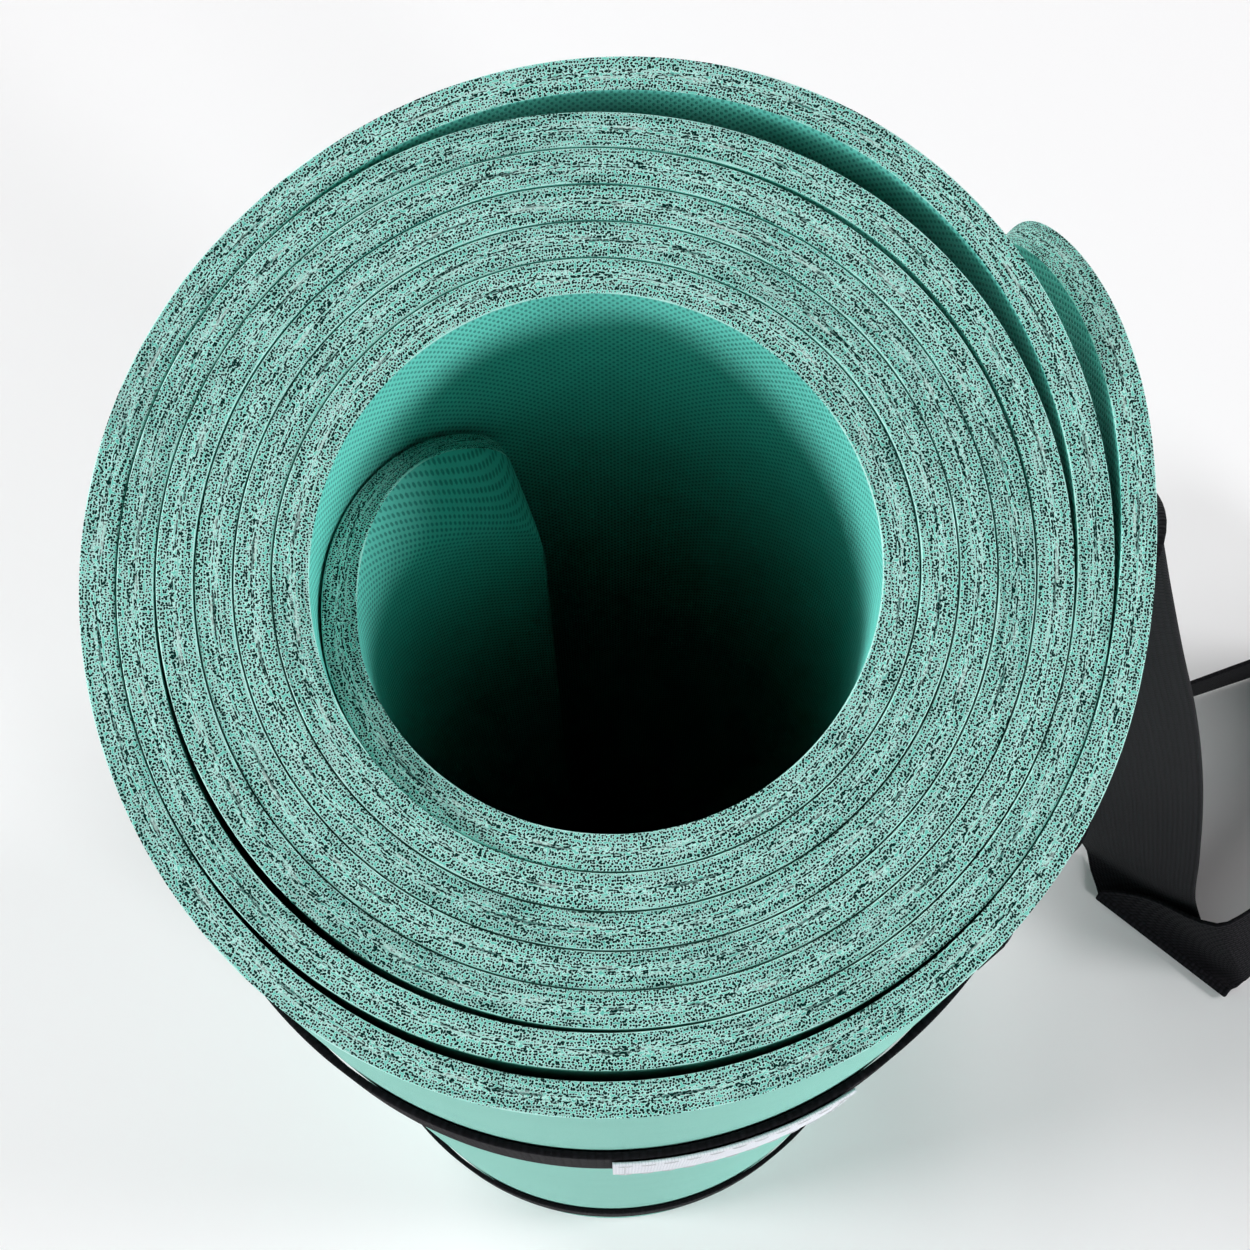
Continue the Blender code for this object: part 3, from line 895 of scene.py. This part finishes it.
def makeWire():
    made, surface = startMaterial("ringWire")
    tree = made.node_tree
    along, across = millimetres(tree)
    drawn = noise(point(along * 0.3, across * 6), 1.0, 3.0, 0.6)
    rubbed = noise(point(along, across), 0.35, 3.0, 0.6)
    colour = mixed(rubbed.step(0.3, 0.8), colourOf(176, 176, 178), colourOf(206, 206, 206))
    roughness = 0.2 + 0.22 * rubbed + 0.1 * drawn
    dress(surface, colour, roughness, drawn, 0.00002, metallic=1.0, strength=0.5)
    return made


def makeRing(name, height, material):
    first, second = (onRoll(angle, ringHeight) for angle in barAngles)
    shift = Vector((*sheet["axis"], height))
    middle, along = (first + second) / 2 + shift, (second - first).normalized()
    out = along.cross(Vector((0, 0, 1))).normalized()
    halfLength = strap["ringLength"] / 2 - ring["corner"]
    halfHeight = strap["width"] / 2 + ring["sideGap"] + strap["ringWire"] / 2 - ring["corner"]
    spine = []
    for x, z, start in ((1, 1, 0), (-1, 1, 90), (-1, -1, 180), (1, -1, 270)):
        for k in range(ring["cornerSteps"] + 1):
            angle = math.radians(start + 90 * k / ring["cornerSteps"])
            towards = along * math.cos(angle) + Vector((0, 0, math.sin(angle)))
            spot = middle + along * x * halfLength + Vector((0, 0, z * halfHeight))
            spine.append((spot + towards * ring["corner"], towards))
    points, faces, flats = [], [], []
    sides, reach, length = ring["sides"], strap["ringWire"] / 2, 0.0
    for i, (spot, towards) in enumerate(spine):
        for k in range(sides):
            angle = 2 * math.pi * k / sides
            points.append(spot + reach * (towards * math.cos(angle) + out * math.sin(angle)))
        following = (i + 1) % len(spine)
        here, there = i * sides, following * sides
        end = length + (spine[following][0] - spot).length
        for k in range(sides):
            j = (k + 1) % sides
            faces.append((here + k, here + j, there + j, there + k))
            low, high = (2 * math.pi * reach * n / sides for n in (k, k + 1))
            flats.append([(length, low), (length, high), (end, high), (end, low)])
        length = end
    piece = makeMesh(name, points, faces, flats, [material])
    smoothed(piece.data)
    return piece


wire = makeWire()
for name, node, height, body in (
    ("upperRing", "upper_ring", heights[0], "upper_loop"),
    ("lowerRing", "lower_ring", heights[1], "lower_loop"),
):
    piece = makeRing(name, height, wire)
    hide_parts(node)
    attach(piece, body)
print("rings sit in their loops")


# Bare patch sewn on the upper loop
patch = {
    "from": 271,
    "to": 302.5,
    "width": 0.0372,
    "thickness": 0.0006,
    "cloth": colourOf(240, 244, 250),
    # painted shade in the low places of the weave
    "shade": colourOf(206, 211, 220),
    "thread": 0.45,  # mm
}


def makePatchCloth():
    made, surface = startMaterial("patchCloth")
    along, across = millimetres(made.node_tree)
    place = point(along, across)
    warp, weft = along / patch["thread"], across / patch["thread"]
    odd = ((warp.floor() + weft.floor()) * 0.5).part() * 2
    height = warp.bump() * (1 - odd) + weft.bump() * odd
    # random blotches where more of the weave takes the painted shade colour
    blotches = noise(place, 0.15, 3.0, 0.6)
    colour = mixed(height.step(0.1, 0.9) * (0.6 + 0.4 * blotches), patch["shade"], patch["cloth"])
    dress(surface, colour, 0.8, height, 0.0001, strength=0.6)
    return made


patchLift = plyHeight(0) + strap["thickness"] / 2 + strap["clearance"] + patch["thickness"] / 2
patchEdges = upright(ply(patch["from"], patch["to"], patchLift, 1.0), patch["width"], heights[0])
cloth = makePatchCloth()
label = makeRibbon("labelPatch", patchEdges, patch["width"], patch["thickness"], [cloth], 0.8)
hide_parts("label_patch")
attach(label, "upper_loop")
print("patch is sewn on")


# Stitches, which Geometry Nodes lay along the seam lines
stitch = {"length": 0.0022, "gap": 0.0009, "thread": 0.00032, "inset": 0.0018}


def makeThread(name, colour, shade):
    made, surface = startMaterial(name)
    along = addNode(made.node_tree, "ShaderNodeTexCoord", {}, {}, "Object")
    twist = noise(along, 4000.0, 2.0)
    dress(surface, mixed(twist, shade, colour), 0.7, twist, 0.00003)
    return made


def stitchTree(thread):
    tree, inputs = startTree("stitches", ("Pitch", "Length", "Thread"))
    line = addNode(tree, "GeometryNodeMeshToCurve", {}, {0: inputs["Geometry"]})
    along = {"Curve": line, "Length": inputs["Pitch"]}
    spots = addNode(tree, "GeometryNodeCurveToPoints", {"mode": "LENGTH"}, along)
    turned = Wire(tree, spots.socket.node.outputs["Rotation"])
    bead = addNode(tree, "GeometryNodeMeshUVSphere", {}, {"Segments": 8, "Rings": 6, "Radius": 0.5})
    shape = point(inputs["Thread"], inputs["Thread"], inputs["Length"])
    beads = {"Points": spots, "Instance": bead, "Rotation": turned, "Scale": shape}
    laid = addNode(tree, "GeometryNodeInstanceOnPoints", {}, beads)
    real = addNode(tree, "GeometryNodeRealizeInstances", {}, {0: laid})
    finish = {"Geometry": real, "Material": thread}
    endTree(tree, addNode(tree, "GeometryNodeSetMaterial", {}, finish))
    return tree


def sewn(name, lines, thread, body):
    points, edges = [], []
    for line in lines:
        edges += [(len(points) + i, len(points) + i + 1) for i in range(len(line) - 1)]
        points += line
    mesh = bpy.data.meshes.new(name)
    mesh.from_pydata(points, edges, [])
    seam = bpy.data.objects.new(name, mesh)
    bpy.context.collection.objects.link(seam)
    length = stitch["length"]
    sizes = {"Pitch": length + stitch["gap"], "Length": length, "Thread": stitch["thread"]}
    bakeTree(seam, stitchTree(thread), sizes).shade_smooth()
    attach(seam, body)


def seamOn(start, end, width, height, lift):
    # a closed rectangle of thread on the roll, just inside the edges of what it holds
    inset = stitch["inset"]
    first, last = start + arcAngle(inset), end - arcAngle(inset)
    shift = Vector((*sheet["axis"], height))
    half = Vector((0, 0, width / 2 - inset))
    bottom = [place + shift - half for place in ply(first, last, lift, 1.0)]
    top = [place + shift + half for place in ply(last, first, lift, 1.0)]
    return [bottom, [bottom[-1], top[0]], top, [top[-1], bottom[0]]]


paleThread = makeThread("paleThread", colourOf(226, 228, 232), colourOf(170, 174, 182))
darkThread = makeThread("darkThread", colourOf(62, 62, 68), colourOf(20, 20, 24))
onPatch = patchLift + patch["thickness"] / 2
patchSeam = seamOn(patch["from"], patch["to"], patch["width"], heights[0], onPatch)
sewn("patchStitches", patchSeam, paleThread, "upper_loop")
tabLift = plyHeight(1) + strap["thickness"] / 2
tabLast = barAngles[0] - arcAngle(strap["tabSlope"])
for name, height, body in (
    ("upperTabStitches", heights[0], "upper_loop"),
    ("lowerTabStitches", heights[1], "lower_loop"),
):
    seam = seamOn(strap["tabEnd"], tabLast, strap["width"], height, tabLift)
    sewn(name, seam, darkThread, body)
print("seams are stitched")


# Studio: a pale floor under soft lamps, and a sky that is bright only low round the horizon
studio = {
    "floor": 6.0,
    "paper": (0.94, 0.925, 0.938, 1),
    "sky": (0.74, 0.02),  # low round the horizon, and straight above
    "skyEdge": (0.22, 0.44),  # where it darkens, as the sine of the height above the horizon
    "reach": (1.1, 1.7),  # m from the roll, where the floor fades into the backdrop
    "backdrop": 0.94,
    "aim": 0.4,  # m up the roll, where the lamps point
    "lamps": (
        # name, place, size, power, colour
        ("keyLight", (-1.7, 1.9, 2.2), 2.4, 47, (1.0, 0.99, 0.98)),
        ("frontLight", (1.5, -1.45, 1.1), 0.5, 20, (0.98, 0.99, 1.0)),
        ("leftLight", (-2.35, -0.3, 1.5), 0.9, 47, (1.0, 1.0, 1.0)),
        ("backLight", (1.6, 1.6, 2.4), 1.6, 4, (1.0, 1.0, 1.0)),
        ("rightLight", (2.3, 0.1, 1.65), 0.9, 28, (1.0, 1.0, 1.0)),
    ),
}


def seenStraight(tree):
    # 1 for what the camera, a mirror or glass shows, and 0 for what lights the object
    rays = ("Is Camera Ray", "Is Glossy Ray", "Is Transmission Ray")
    seen, glossy, through = (addNode(tree, "ShaderNodeLightPath", {}, {}, ray) for ray in rays)
    return seen.larger(glossy).larger(through)


def makeStudio():
    half = studio["floor"] / 2
    mesh = bpy.data.meshes.new("floor")
    corners = [(-half, -half, 0), (half, -half, 0), (half, half, 0), (-half, half, 0)]
    mesh.from_pydata(corners, [], [(0, 1, 2, 3)])
    floor = bpy.data.objects.new("floor", mesh)
    bpy.context.collection.objects.link(floor)
    made, surface = startMaterial("paperFloor")
    surface.inputs["Base Color"].default_value = studio["paper"]
    surface.inputs["Roughness"].default_value = 0.7
    surface.inputs["Specular IOR Level"].default_value = 0.2
    place = addNode(made.node_tree, "ShaderNodeTexCoord", {}, {}, "Object")
    distance = place.add("ShaderNodeVectorMath", {"operation": "LENGTH"}, {0: place}, "Value")
    white = addNode(made.node_tree, "ShaderNodeEmission", {}, {"Strength": studio["backdrop"]})
    seen = seenStraight(made.node_tree) * distance.step(*studio["reach"])
    inputs = {0: seen, 1: Wire(made.node_tree, surface.outputs[0]), 2: white}
    shown = addNode(made.node_tree, "ShaderNodeMixShader", {}, inputs)
    end = made.node_tree.nodes["Material Output"]
    made.node_tree.links.new(shown.socket, end.inputs["Surface"])
    mesh.materials.append(made)
    for name, place, size, power, colour in studio["lamps"]:
        lamp = bpy.data.lights.new(name, "AREA")
        lamp.shape = "DISK"
        lamp.size = size
        lamp.energy = power
        lamp.color = colour
        lampObject = bpy.data.objects.new(name, lamp)
        bpy.context.collection.objects.link(lampObject)
        lampObject.location = place
        away = Vector(place) - Vector((0, 0, studio["aim"]))
        lampObject.rotation_euler = away.to_track_quat("Z", "Y").to_euler()
    world = bpy.data.worlds.new("sky")
    bpy.context.scene.world = world
    world.use_nodes = True
    sky = world.node_tree.nodes["Background"]
    sky.inputs["Color"].default_value = (1, 1, 1, 1)
    upward = split(addNode(world.node_tree, "ShaderNodeTexCoord", {}, {}, "Object"), 2)
    low, above = studio["sky"]
    strength = low - upward.step(*studio["skyEdge"]) * (low - above)
    strength = strength.larger(seenStraight(world.node_tree) * studio["backdrop"])
    world.node_tree.links.new(strength.socket, sky.inputs["Strength"])
    bpy.context.scene.view_settings.view_transform = "Standard"


makeStudio()
print("studio is lit")
